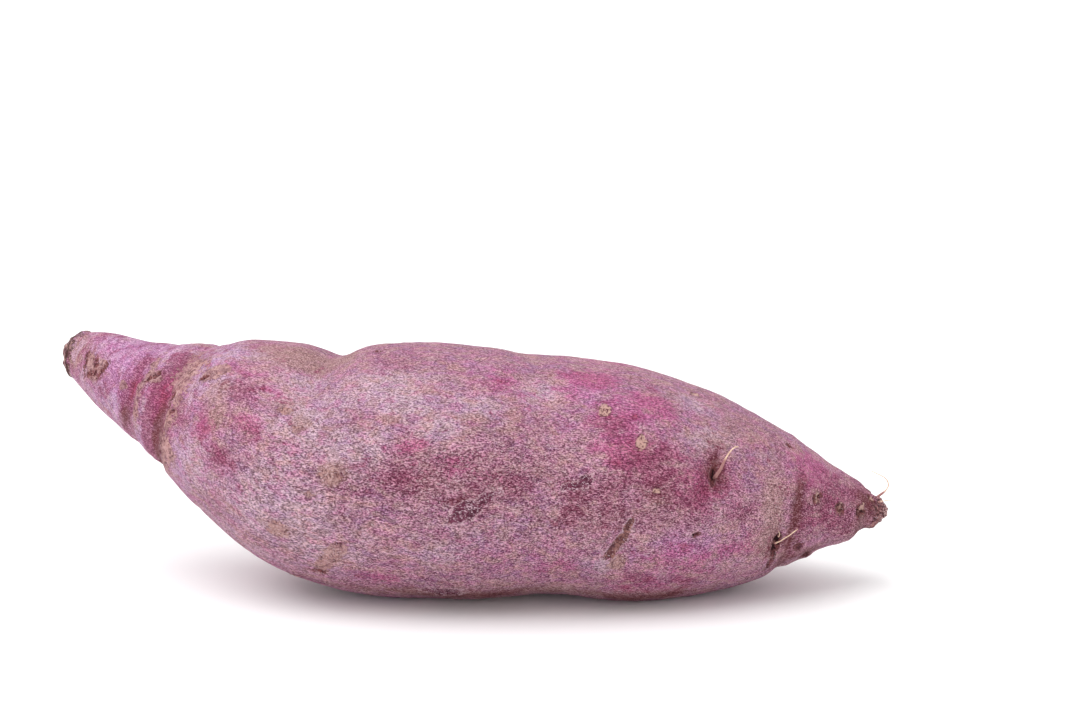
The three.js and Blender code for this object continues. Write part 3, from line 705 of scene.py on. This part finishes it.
rootlets = []
for number, (name, (at, turned, thickness, husk_end, offsets)) in enumerate(HAIR_ROOTS.items()):
    skin_point, outward = skin_at(at, turned)
    foot = skin_point + outward * (ROOTLET_GAP + thickness / 2)
    buried = [skin_point - outward * depth for depth in BURIED_DEPTHS]
    path = np.concatenate([buried, foot + np.array(offsets)])
    count = RINGS_PER_STEP * (len(path) - 1)
    route = smooth_path(path, np.linspace(0, len(path) - 1 - STOP_SHORT, count))
    share = np.linspace(0, 1, count)
    kink_line = np.stack([share * KINKS_EACH, 0 * share, 0 * share + number], -1)[None]
    kinks = lumpy(kink_line, 1.0, 40 + number)[0]
    route = route + KINK * kinks[:, None] * unit(np.gradient(route, axis=0))[:, [1, 2, 0]]
    husk = ease(share, husk_end + HUSK_FRINGE, husk_end - HUSK_FRINGE)
    taper = 0.42 + 0.5 * np.exp(-share * 5) + 0.25 * (1 - share) + thickness * husk
    radii = thickness / 2 * taper * (1 + 0.16 * kinks)
    radii[-len(TIP_TAPER):] *= TIP_TAPER
    radii[0] = 0
    rings = tapered_tube(route, radii)
    rootlet = new_piece(name + "_hair", (without_doubles(rings) + to_frame) * MM,
                        tube_faces(*rings.shape[:2]))
    keep_field(rootlet, "husk", np.repeat(husk[:, None], rings.shape[1], axis=1))
    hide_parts(name)
    rootlets.append(rootlet)
print("hair roots:", [rootlet.name for rootlet in rootlets])

# %% [markdown]
# ## Shader maths as Python
# The skin needs dozens of small sums, such as "the blush mask is the zone plus some noise". Wiring
# Math nodes by hand hides that sum, so one small class wraps a socket and lets Python's own
# operators add the nodes. Any other node comes from one method.

# %% A wire that does sums, and a finish that makes nodes


class Wire:
    """The output of a node. Sums with numbers or other wires add Math nodes."""

    def __init__(self, finish, socket):
        self.finish, self.socket = finish, socket

    def sum_with(self, operation, first, second):
        """A Math node that works on first and second, in that order."""
        return self.finish.node("ShaderNodeMath", {"operation": operation}, {0: first, 1: second})

    def __add__(self, other):
        return self.sum_with("ADD", self, other)

    __radd__ = __add__

    def __sub__(self, other):
        return self.sum_with("SUBTRACT", self, other)

    def __rsub__(self, other):
        return self.sum_with("SUBTRACT", other, self)

    def __mul__(self, other):
        return self.sum_with("MULTIPLY", self, other)

    __rmul__ = __mul__

    def __abs__(self):
        return self.sum_with("ABSOLUTE", self, 0.0)


class Finish:
    """One material with its nodes. Each method that adds a node returns a wire."""

    def __init__(self, name):
        self.material = bpy.data.materials.new(name)
        self.material.use_nodes = True
        self.nodes, self.links = self.material.node_tree.nodes, self.material.node_tree.links
        self.shader = self.nodes["Principled BSDF"]

    def plug(self, socket, value):
        """Links a wire to the socket, or sets the socket's own value."""
        if isinstance(value, Wire):
            self.links.new(value.socket, socket)
        else:
            socket.default_value = value

    def coat(self, socket, value):
        """Plugs a wire or a value into a socket of the shader itself."""
        self.plug(self.shader.inputs[socket], value)

    def node(self, kind, settings, sockets, result=0):
        """Adds a node: its settings first, then a value or a wire for each socket."""
        made = self.nodes.new(kind)
        for name, value in settings.items():
            setattr(made, name, value)
        for key, value in sockets.items():
            self.plug(made.inputs[key], value)
        return Wire(self, made.outputs[result])

    def field(self, name, result="Fac"):
        """A number, or with result "Vector" a vector, that the mesh holds at each vertex."""
        return self.node("ShaderNodeAttribute", {"attribute_name": name}, {}, result)

    def step(self, value, low, high):
        """The same S-curve as ease, as a node."""
        return self.node("ShaderNodeMapRange", {"interpolation_type": "SMOOTHSTEP"},
                         {"Value": value, "From Min": low, "From Max": high})

    def moved(self, where, scale, shift=0.0):
        """A place times a scale, plus a shift that keeps two noises from lining up."""
        return self.node("ShaderNodeVectorMath", {"operation": "MULTIPLY_ADD"},
                         {0: where, 1: scale, 2: (shift, shift * 0.7, -shift)})

    def noise(self, where, size, detail=2.0, roughness=0.5, twist=0.0):
        """Cloudy noise, mostly 0.3 to 0.7, with blobs of about this size."""
        return self.node("ShaderNodeTexNoise", {},
                         {"Vector": where, "Scale": 1 / size, "Detail": detail,
                          "Roughness": roughness, "Distortion": twist})

    def mix(self, share, first, second):
        """Colour first, going over to colour second as share goes from 0 to 1."""
        return self.node("ShaderNodeMix", {"data_type": "RGBA"}, {0: share, 6: first, 7: second}, 2)

    def lit(self, colour, gain):
        """The colour made lighter or darker by a number or a wire."""
        return self.node("ShaderNodeVectorMath", {"operation": "SCALE"},
                         {0: colour, "Scale": gain})

    def bump(self, height):
        """Normal from a height in mm."""
        return self.node("ShaderNodeBump", {},
                         {"Strength": 1.0, "Distance": MM, "Height": height})


print("a finish can do:", [name for name in vars(Finish) if not name.startswith("_")])

# %% [markdown]
# ## The colour card
# A painter would mix these on a palette before starting. They are kept in one place, as the 0 to
# 255 numbers of a screen, so that another root, or another variety, is a matter of new numbers.

# %% The colour card of the skin and the hair roots


def paint(red, green, blue):
    """A shader colour from 0 to 255 numbers: each is bent by the screen's curve, a power of 2.4
    after a small offset."""
    return tuple(((c / 255 + 0.055) / 1.055) ** 2.4 for c in (red, green, blue)) + (1.0,)


card = SimpleNamespace(
    # The bark and its zones.
    dusky_mauve=paint(148, 96, 119), dusty_mauve=paint(170, 119, 139),
    rosy_mauve=paint(154, 92, 122), grey_powder=paint(191, 163, 178),
    lavender_powder=paint(178, 147, 181), violet=paint(152, 106, 156), tan=paint(170, 122, 110),
    pink=paint(176, 100, 142), warm_grey=paint(158, 126, 126), orchid=paint(172, 114, 164),
    # Dry soil tan is also the colour of the painted shade along the lower side.
    dry_soil_and_shade=paint(158, 122, 117), rosy_brown=paint(138, 84, 100), magenta=paint(170, 66, 118),
    plum=paint(124, 50, 80), red_brown=paint(112, 48, 54), ember=paint(146, 34, 78),
    pale_streak=paint(194, 160, 188), dark_streak=paint(136, 58, 98),
    # The dry scales, the gaps between them, and glints.
    gap=paint(88, 22, 50), scale=paint(230, 194, 206), dark_thread=paint(80, 26, 48),
    pale_thread=paint(224, 186, 192), crease=paint(86, 38, 36), glint=paint(232, 206, 212),
    # Peeled bark.
    dark_wine=paint(76, 26, 46), wine=paint(112, 52, 76), frayed=paint(214, 176, 186),
    fleck=paint(220, 184, 198),
    # Cork.
    dark_cork=paint(130, 90, 92), cork=paint(187, 146, 141), orange_cork=paint(190, 134, 122),
    plum_cork=paint(130, 96, 108), cream_cork=paint(208, 174, 170), cork_crack=paint(72, 34, 38),
    cork_halo=paint(96, 50, 60),
    # Pores, gash and slits.
    pore_rim=paint(84, 42, 48), dark_eye=paint(104, 62, 64), pale_eye=paint(206, 168, 154),
    gash_lip=paint(208, 180, 190), dark_gash=paint(90, 44, 46), gash=paint(154, 104, 96),
    gash_crack=paint(62, 26, 32), torn_edge=paint(204, 168, 174), dark_raw=paint(64, 22, 28),
    raw=paint(122, 66, 68), deep=paint(36, 8, 14),
    # The crown scar and the torn tail.
    dark_scar=paint(98, 64, 58), scar=paint(188, 152, 142), scar_crack=paint(46, 20, 18),
    scar_lip=paint(58, 28, 26), dark_strand=paint(98, 46, 50), strand=paint(176, 124, 122),
    strand_gap=paint(46, 18, 22), strand_end=paint(206, 172, 168),
    # Hair roots.
    hair=paint(206, 164, 142), pale_hair=paint(240, 214, 188), husk=paint(146, 90, 96),
)
print("colours on the card:", len(vars(card)))

# %% [markdown]
# ## The skin
# Up close the bark is a net of tiny dry scales, half a millimetre to a millimetre long and longer
# along the root than across it, with cream edges and plum gaps. Over it lie the colour zones.
# Noise on plain Object coordinates would cut straight through the bent neck, so the patterns read
# the attribute "straight", the place on the root as if its spine had been pulled straight, in mm.

# %% Skin: noises from cloud to grain
skin = Finish("yam_skin")
on_root = skin.field("straight", "Vector")
fields = {kind: skin.field(kind) for kind in [*marks, "crown", "tail"]}
# Each noise: a place, the size of its blobs in mm, detail, roughness and twist.
clouds = skin.noise(on_root, 16.0, 3.0, 0.6)
blotch = skin.noise(skin.moved(on_root, (0.8, 1.0, 1.0), 31.0), 4.5, 4.0, 0.65)
dapple = skin.noise(skin.moved(on_root, (0.7, 1.0, 1.0), 44.0), 2.6, 3.0, 0.6, 0.5)
mottle = skin.noise(skin.moved(on_root, (0.7, 1.0, 1.0), 57.0), 1.3, 3.0, 0.7, 0.5)
grain = skin.noise(skin.moved(on_root, (0.42, 1.0, 1.0), 7.0), 0.215, 1.0, 0.6, 0.8)
fibre = skin.noise(skin.moved(on_root, (0.4, 1.0, 1.0), 71.0), 0.5, 2.0, 0.6, 1.4)
tint = skin.noise(skin.moved(on_root, (0.6, 1.0, 1.0), 83.0), 1.7, 1.5, 0.5, 0.4)
tatter = skin.noise(skin.moved(on_root, (1.0, 1.0, 1.0), 93.0), 0.7, 2.0, 0.7, 0.6) - 0.5
ragged = 0.35 * blotch + 0.3 * dapple + 0.35 * mottle - 0.5
print("fields and noises, as nodes:", len(skin.nodes))

# %% Skin: the zones' masks, each with its edge frayed by noise
bloom = skin.step(fields["bloom"] + 3.0 * ragged, 0.1, 0.9)
# The dust zone: dust and dead bark, and painted shade along the lower side.
dust = skin.step(fields["dust"] + 3.4 * ragged, 0.25, 0.8)
blush = skin.step(fields["blush"] + 4.4 * ragged + 0.6 * (clouds - 0.5), 0.2, 0.9)
worn = skin.step(fields["worn"] + 3.0 * ragged, 0.15, 0.85)
plum = skin.step(fields["plum"] + 4.0 * ragged, 0.15, 0.85)
orchid = skin.step(fields["orchid"] + 3.0 * ragged, 0.15, 0.85)
neck = skin.step(fields["coarse"], 0.3, 0.05)
print("with the masks:", len(skin.nodes))

# %% Skin: the tone of the bark, layer over layer
tone = skin.mix(skin.step(clouds, 0.35, 0.65), card.dusky_mauve, card.dusty_mauve)
tone = skin.mix((0.55 - 0.25 * bloom) * skin.step(blotch, 0.4, 0.62), tone, card.rosy_mauve)
powder = skin.mix(neck, card.grey_powder, card.lavender_powder)
tone = skin.mix(0.85 * bloom, tone, powder)
tone = skin.mix(0.45 * skin.step(dapple, 0.51, 0.63), tone, card.violet)
tone = skin.mix(0.5 * skin.step(dapple, 0.48, 0.35), tone, card.tan)
tone = skin.mix(0.5 * skin.step(tint, 0.52, 0.66), tone, card.pink)
tone = skin.mix(0.5 * skin.step(tint, 0.48, 0.34), tone, card.warm_grey)
tone = skin.mix(0.65 * orchid, tone, card.orchid)
tone = skin.mix(0.8 * dust, tone, card.dry_soil_and_shade)
tone = skin.mix(0.65 * worn, tone, card.rosy_brown)
tone = skin.mix(0.64 * blush, tone, card.magenta)
tone = skin.mix(0.8 * plum, tone, card.plum)
# Red-brown of the shade zone: partly the creases' own colour, partly painted shade.
shade = skin.step(fields["shade"] + 2.6 * ragged, 0.15, 0.9)
tone = skin.mix(0.85 * shade, tone, card.red_brown)
ember = skin.step(fields["blush"] + 5.0 * ragged, 0.8, 1.6)
tone = skin.mix(0.6 * ember, tone, card.ember)
streaks = skin.noise(skin.moved(on_root, (1.0, 0.4, 0.4), 61.0), 2.6, 4.0, 0.65, 0.6)
pale_share = 0.46 * neck * (1 - 0.7 * plum) * skin.step(streaks, 0.5, 0.62)
tone = skin.mix(pale_share, tone, card.pale_streak)
tone = skin.mix(0.65 * neck * skin.step(streaks, 0.48, 0.37), tone, card.dark_streak)
print("with the tone:", len(skin.nodes))

# %% Skin: light and dark grains, and threads of the dry scales
# The grain is light where a scale lifts and dark in a gap, and it opens on coarse bark. It goes
# over the tone, so every zone keeps the same texture.
coarse = fields["coarse"]
open_grain = 0.66 + 0.34 * coarse
broad = (1.2 + 1.4 * coarse) * (fibre - 0.5) + (0.6 + 0.7 * coarse) * (mottle - 0.5)
light = (6.4 - 1.2 * dust) * (grain - 0.5) + (1 - 0.45 * bloom) * broad - 0.06 - 0.06 * plum
gap = skin.mix(0.55, skin.lit(tone, 0.22), card.gap)
scale = skin.mix(0.45 - 0.25 * blush, skin.lit(tone, 1.8 + 0.5 * plum), card.scale)
colour = skin.mix(0.9 * open_grain * skin.step(light, 0.0, -0.8), tone, gap)
colour = skin.mix(0.88 * open_grain * skin.step(light, 0.0, 0.8), colour, scale)
threads = skin.step(abs(fibre - 0.5), 0.03, 0.006) * coarse
colour = skin.mix(0.5 * threads * skin.step(dapple, 0.45, 0.6), colour, card.dark_thread)
colour = skin.mix(0.45 * threads * skin.step(dapple, 0.5, 0.35), colour, card.pale_thread)
print("with the grain:", len(skin.nodes))

# %% [markdown]
# ## The marks' finish
# A mark isn't one colour either. Peeled bark is wine dark with pale flecks, cork is tan with dark
# cracks, a pore has a thin dark rim, and a slit is almost black at its bottom. Each mask is the
# mark's own field, frayed by noise, and a step of that field at a lower value gives the rim or
# halo just outside the mark.

# %% Skin: shade in the creases, and peeled bark
# A darker red-brown over the shade zone, partly painted shade.
colour = skin.mix(0.35 * shade * (0.6 + 0.9 * mottle), colour, card.crease)

peeled = fields["scuff"] + 1.6 * ragged + 1.8 * tatter
scuff = skin.step(peeled, -0.05, 0.1)
wine = skin.mix(skin.step(mottle, 0.4, 0.6), card.dark_wine, card.wine)
colour = skin.mix(0.92 * scuff, colour, wine)
frayed = skin.step(peeled, -0.45, -0.05) * (1 - scuff)
colour = skin.mix(0.75 * frayed * skin.step(tatter, -0.06, 0.04), colour, card.frayed)
flecks = scuff * skin.step(grain + 0.5 * tatter, 0.56, 0.64)
colour = skin.mix(0.9 * flecks, colour, card.fleck)
print("with the peeled bark:", len(skin.nodes))

# %% Skin: cork
corky = fields["cork"] + 1.6 * ragged + 2.2 * tatter
cork = skin.step(corky, -0.05, 0.3)
cracks = skin.noise(skin.moved(on_root, (1.0, 0.6, 0.6), 19.0), 0.7, 3.0, 0.7, 1.2)
bark = skin.mix(skin.step(mottle, 0.36, 0.6), card.dark_cork, card.cork)
bark = skin.mix(0.3 * skin.step(dapple, 0.5, 0.6), bark, card.orange_cork)
bark = skin.mix(0.34 * plum, bark, card.plum_cork)
bark = skin.mix(0.4 * skin.step(cracks, 0.54, 0.61), bark, card.cream_cork)
bark = skin.mix(0.85 * skin.step(cracks, 0.47, 0.4), bark, card.cork_crack)
halo = skin.step(corky, -0.4, -0.05)
colour = skin.mix(0.3 * halo * skin.step(cracks, 0.54, 0.44), colour, card.cork_halo)
colour = skin.mix(0.82 * cork, colour, bark)
print("with the cork:", len(skin.nodes))

# %% Skin: pores, the gash and slits
porous = fields["pore"] + 1.2 * ragged + 1.8 * tatter
rim = skin.step(porous, -0.25, 0.0)
colour = skin.mix(0.7 * rim * skin.step(cracks, 0.56, 0.44), colour, card.pore_rim)
eye = skin.step(porous, 0.0, 0.35)
dry_eye = skin.mix(skin.step(cracks, 0.4, 0.5), card.dark_eye, card.pale_eye)
colour = skin.mix(0.8 * eye, colour, dry_eye)

healed = fields["gash"] + 1.2 * ragged + 1.3 * tatter
lips = skin.step(healed, -0.7, -0.25) * skin.step(dapple, 0.42, 0.54)
colour = skin.mix(0.45 * lips, colour, card.gash_lip)
healed_skin = skin.mix(skin.step(mottle, 0.42, 0.6), card.dark_gash, card.gash)
healed_skin = skin.mix(0.8 * skin.step(cracks, 0.48, 0.4), healed_skin, card.gash_crack)
colour = skin.mix(0.9 * skin.step(healed, -0.1, 0.1), colour, healed_skin)

split = fields["pit"] + 1.0 * ragged + 2.2 * tatter
torn_edge = skin.step(split, -0.5, -0.2) * skin.step(tatter, -0.06, 0.06)
colour = skin.mix(0.2 * torn_edge, colour, card.torn_edge)
brown = skin.step(split, -0.12, 0.15)
raw = skin.mix(skin.step(cracks, 0.42, 0.56), card.dark_raw, card.raw)
colour = skin.mix(0.9 * brown, colour, raw)
deep = skin.step(split, 0.45, 0.8)
colour = skin.mix(0.9 * deep, colour, card.deep)
print("with the pores, gash and slits:", len(skin.nodes))

# %% Skin: the crown scar and the torn tail
fibres = skin.noise(skin.moved(on_root, (0.25, 1.0, 1.0), 29.0), 0.6, 3.0, 0.65, 0.5)
scar = skin.step(fields["crown"] + 6.0 * ragged + 5.0 * tatter, -2.6, -1.6)
dry = skin.mix(skin.step(mottle, 0.38, 0.6), card.dark_scar, card.scar)
dry = skin.mix(0.9 * skin.step(cracks, 0.52, 0.45), dry, card.scar_crack)
colour = skin.mix(0.8 * scar, colour, dry)
lip = skin.step(1 - abs(fields["crown"] + 3.0 * ragged + 2.0 * tatter + 0.9), 0.1, 0.8)
colour = skin.mix(0.9 * lip, colour, card.scar_lip)
stub = skin.step(fields["tail"] + 4.0 * ragged + 5.0 * tatter, -3.5, -2.0)
torn = skin.mix(skin.step(mottle, 0.4, 0.62), card.dark_strand, card.strand)
torn = skin.mix(0.9 * skin.step(fibres, 0.53, 0.42), torn, card.strand_gap)
strand_ends = skin.step(fields["tail"] + 9.0 * tatter, -0.2, 0.8) * skin.step(cracks, 0.46, 0.52)
torn = skin.mix(strand_ends, torn, card.strand_end)
colour = skin.mix(0.9 * stub, colour, torn)
print("with the ends:", len(skin.nodes))

# %% Skin: glints, roughness and the bump of the grain
glints = skin.noise(skin.moved(on_root, (0.8, 1.0, 1.0), 120.0), 0.34, 1.0, 0.5)
sparkle = skin.step(glints, 0.61, 0.7)
clean = (1 - shade) * (1 - scuff) * (1 - 0.7 * plum)
colour = skin.mix(0.5 * sparkle * coarse * clean, colour, card.glint)
skin.coat("Base Color", colour)
skin.coat("Specular IOR Level", 0.18)
rough = 0.62 + 0.2 * cork + 0.2 * scar - 0.1 * scuff + 0.16 * dust - 0.06 * blush
skin.coat("Roughness", rough)
height = (0.22 * grain + 0.2 * fibre + 0.2 * mottle) * open_grain
height = height + 0.12 * (cork + scar + stub) * cracks - 0.05 * (scuff + threads)
skin.coat("Normal", skin.bump(height))
tuber.data.materials.append(skin.material)
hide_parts("tuber")
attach(tuber, "root")
print("skin nodes:", len(skin.nodes))

# %% [markdown]
# ## The hair roots' finish
# A dried hair root is a bundle of fibres: cream where it is clean, pinkish brown where it leaves
# the skin inside a torn husk. The attribute "husk" is 1 inside that husk and 0 past its end.

# %% Rootlet material
hair = Finish("dry_rootlet")
in_husk = hair.field("husk")
in_metres = hair.node("ShaderNodeTexCoord", {}, {}, "Object")
in_mm = hair.moved(in_metres, (1 / MM, 1 / MM, 1 / MM))
hair_fibres = hair.noise(in_mm, 0.5, 3.0, 0.6)
clean_hair = hair.mix(hair.step(hair_fibres, 0.35, 0.65), card.hair, card.pale_hair)
torn_husk = hair.step(in_husk + 1.2 * (hair_fibres - 0.5), 0.2, 0.8)
hair.coat("Base Color", hair.mix(0.85 * torn_husk, clean_hair, card.husk))
hair.coat("Roughness", 0.6 + 0.3 * hair_fibres)
hair.coat("Normal", hair.bump(0.08 * hair_fibres))
for rootlet in rootlets:
    rootlet.data.materials.append(hair.material)
    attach(rootlet, "root")
print("hair root nodes:", len(hair.nodes))

# %% [markdown]
# ## The table, the light and the camera
# A yam shows its skin best under a large soft light from above and one side, on a pale table
# that throws light back up under it. The camera is a long lens, a little above the table.

# %% Floor
FLOOR_HALF = 5.0
corners = np.array([[-1, -1, 0], [1, -1, 0], [1, 1, 0], [-1, 1, 0]]) * FLOOR_HALF
pale = Finish("pale_table")
pale.coat("Base Color", (0.97, 0.97, 0.97, 1.0))
pale.coat("Roughness", 0.9)
floor = new_piece("table_top", corners, [[0, 1, 2, 3]], pale.material)
floor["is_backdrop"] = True
print("table width in metres:", 2 * FLOOR_HALF)

# %% Light
ROOM_BRIGHTNESS = 0.95
LAMP_PLACE, LAMP_SIZE, LAMP_POWER = (-0.9, -0.4, 2.2), 2.4, 44.0

world = bpy.data.worlds.new("studio")
world.use_nodes = True
room = world.node_tree.nodes["Background"].inputs
room["Color"].default_value = (1.0, 1.0, 1.0, 1.0)
room["Strength"].default_value = ROOM_BRIGHTNESS
bpy.context.scene.world = world
bpy.context.scene.view_settings.view_transform = "Standard"

# A square lamp that faces the root.
lamp = bpy.data.lights.new("big_soft_lamp", "AREA")
lamp.size, lamp.energy = LAMP_SIZE, LAMP_POWER
lamp_holder = bpy.data.objects.new("big_soft_lamp", lamp)
lamp_holder.location = LAMP_PLACE
lamp_holder.rotation_euler = (-lamp_holder.location).to_track_quat("-Z", "Y").to_euler()
bpy.context.scene.collection.objects.link(lamp_holder)
print("lamp:", LAMP_SIZE, "m wide at", LAMP_PLACE)

# %% Camera
LOOK_DOWN = math.radians(13)
DISTANCE = 0.590
AIM = np.array([15.0, 0.0, 54.9])
FOCAL_LENGTH, SENSOR_WIDTH, CLIP_END = 85.0, 36.0, 20.0

back = np.array([0, -math.cos(LOOK_DOWN), math.sin(LOOK_DOWN)])
lens = bpy.data.cameras.new("camera")
lens.lens, lens.sensor_width, lens.clip_end = FOCAL_LENGTH, SENSOR_WIDTH, CLIP_END
camera = bpy.data.objects.new("camera", lens)
camera.location = AIM * MM + to_frame * MM + back * DISTANCE
camera.rotation_euler = (math.pi / 2 - LOOK_DOWN, 0, 0)
bpy.context.scene.collection.objects.link(camera)
bpy.context.scene.camera = camera
print("camera at", [round(v, 3) for v in camera.location])

# %% [markdown]
# ## The two boxes, and the end
# The skin must not outgrow the packed model, because other scenes place the root by that model's
# box. So both boxes are measured and printed side by side.

sizes = {"cad": [list(corner) for corner in cad_box], "visual": [list(corner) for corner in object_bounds()]}
print("CAD and visual box in mm:", [rounded_mm(box) for box in sizes.values()])
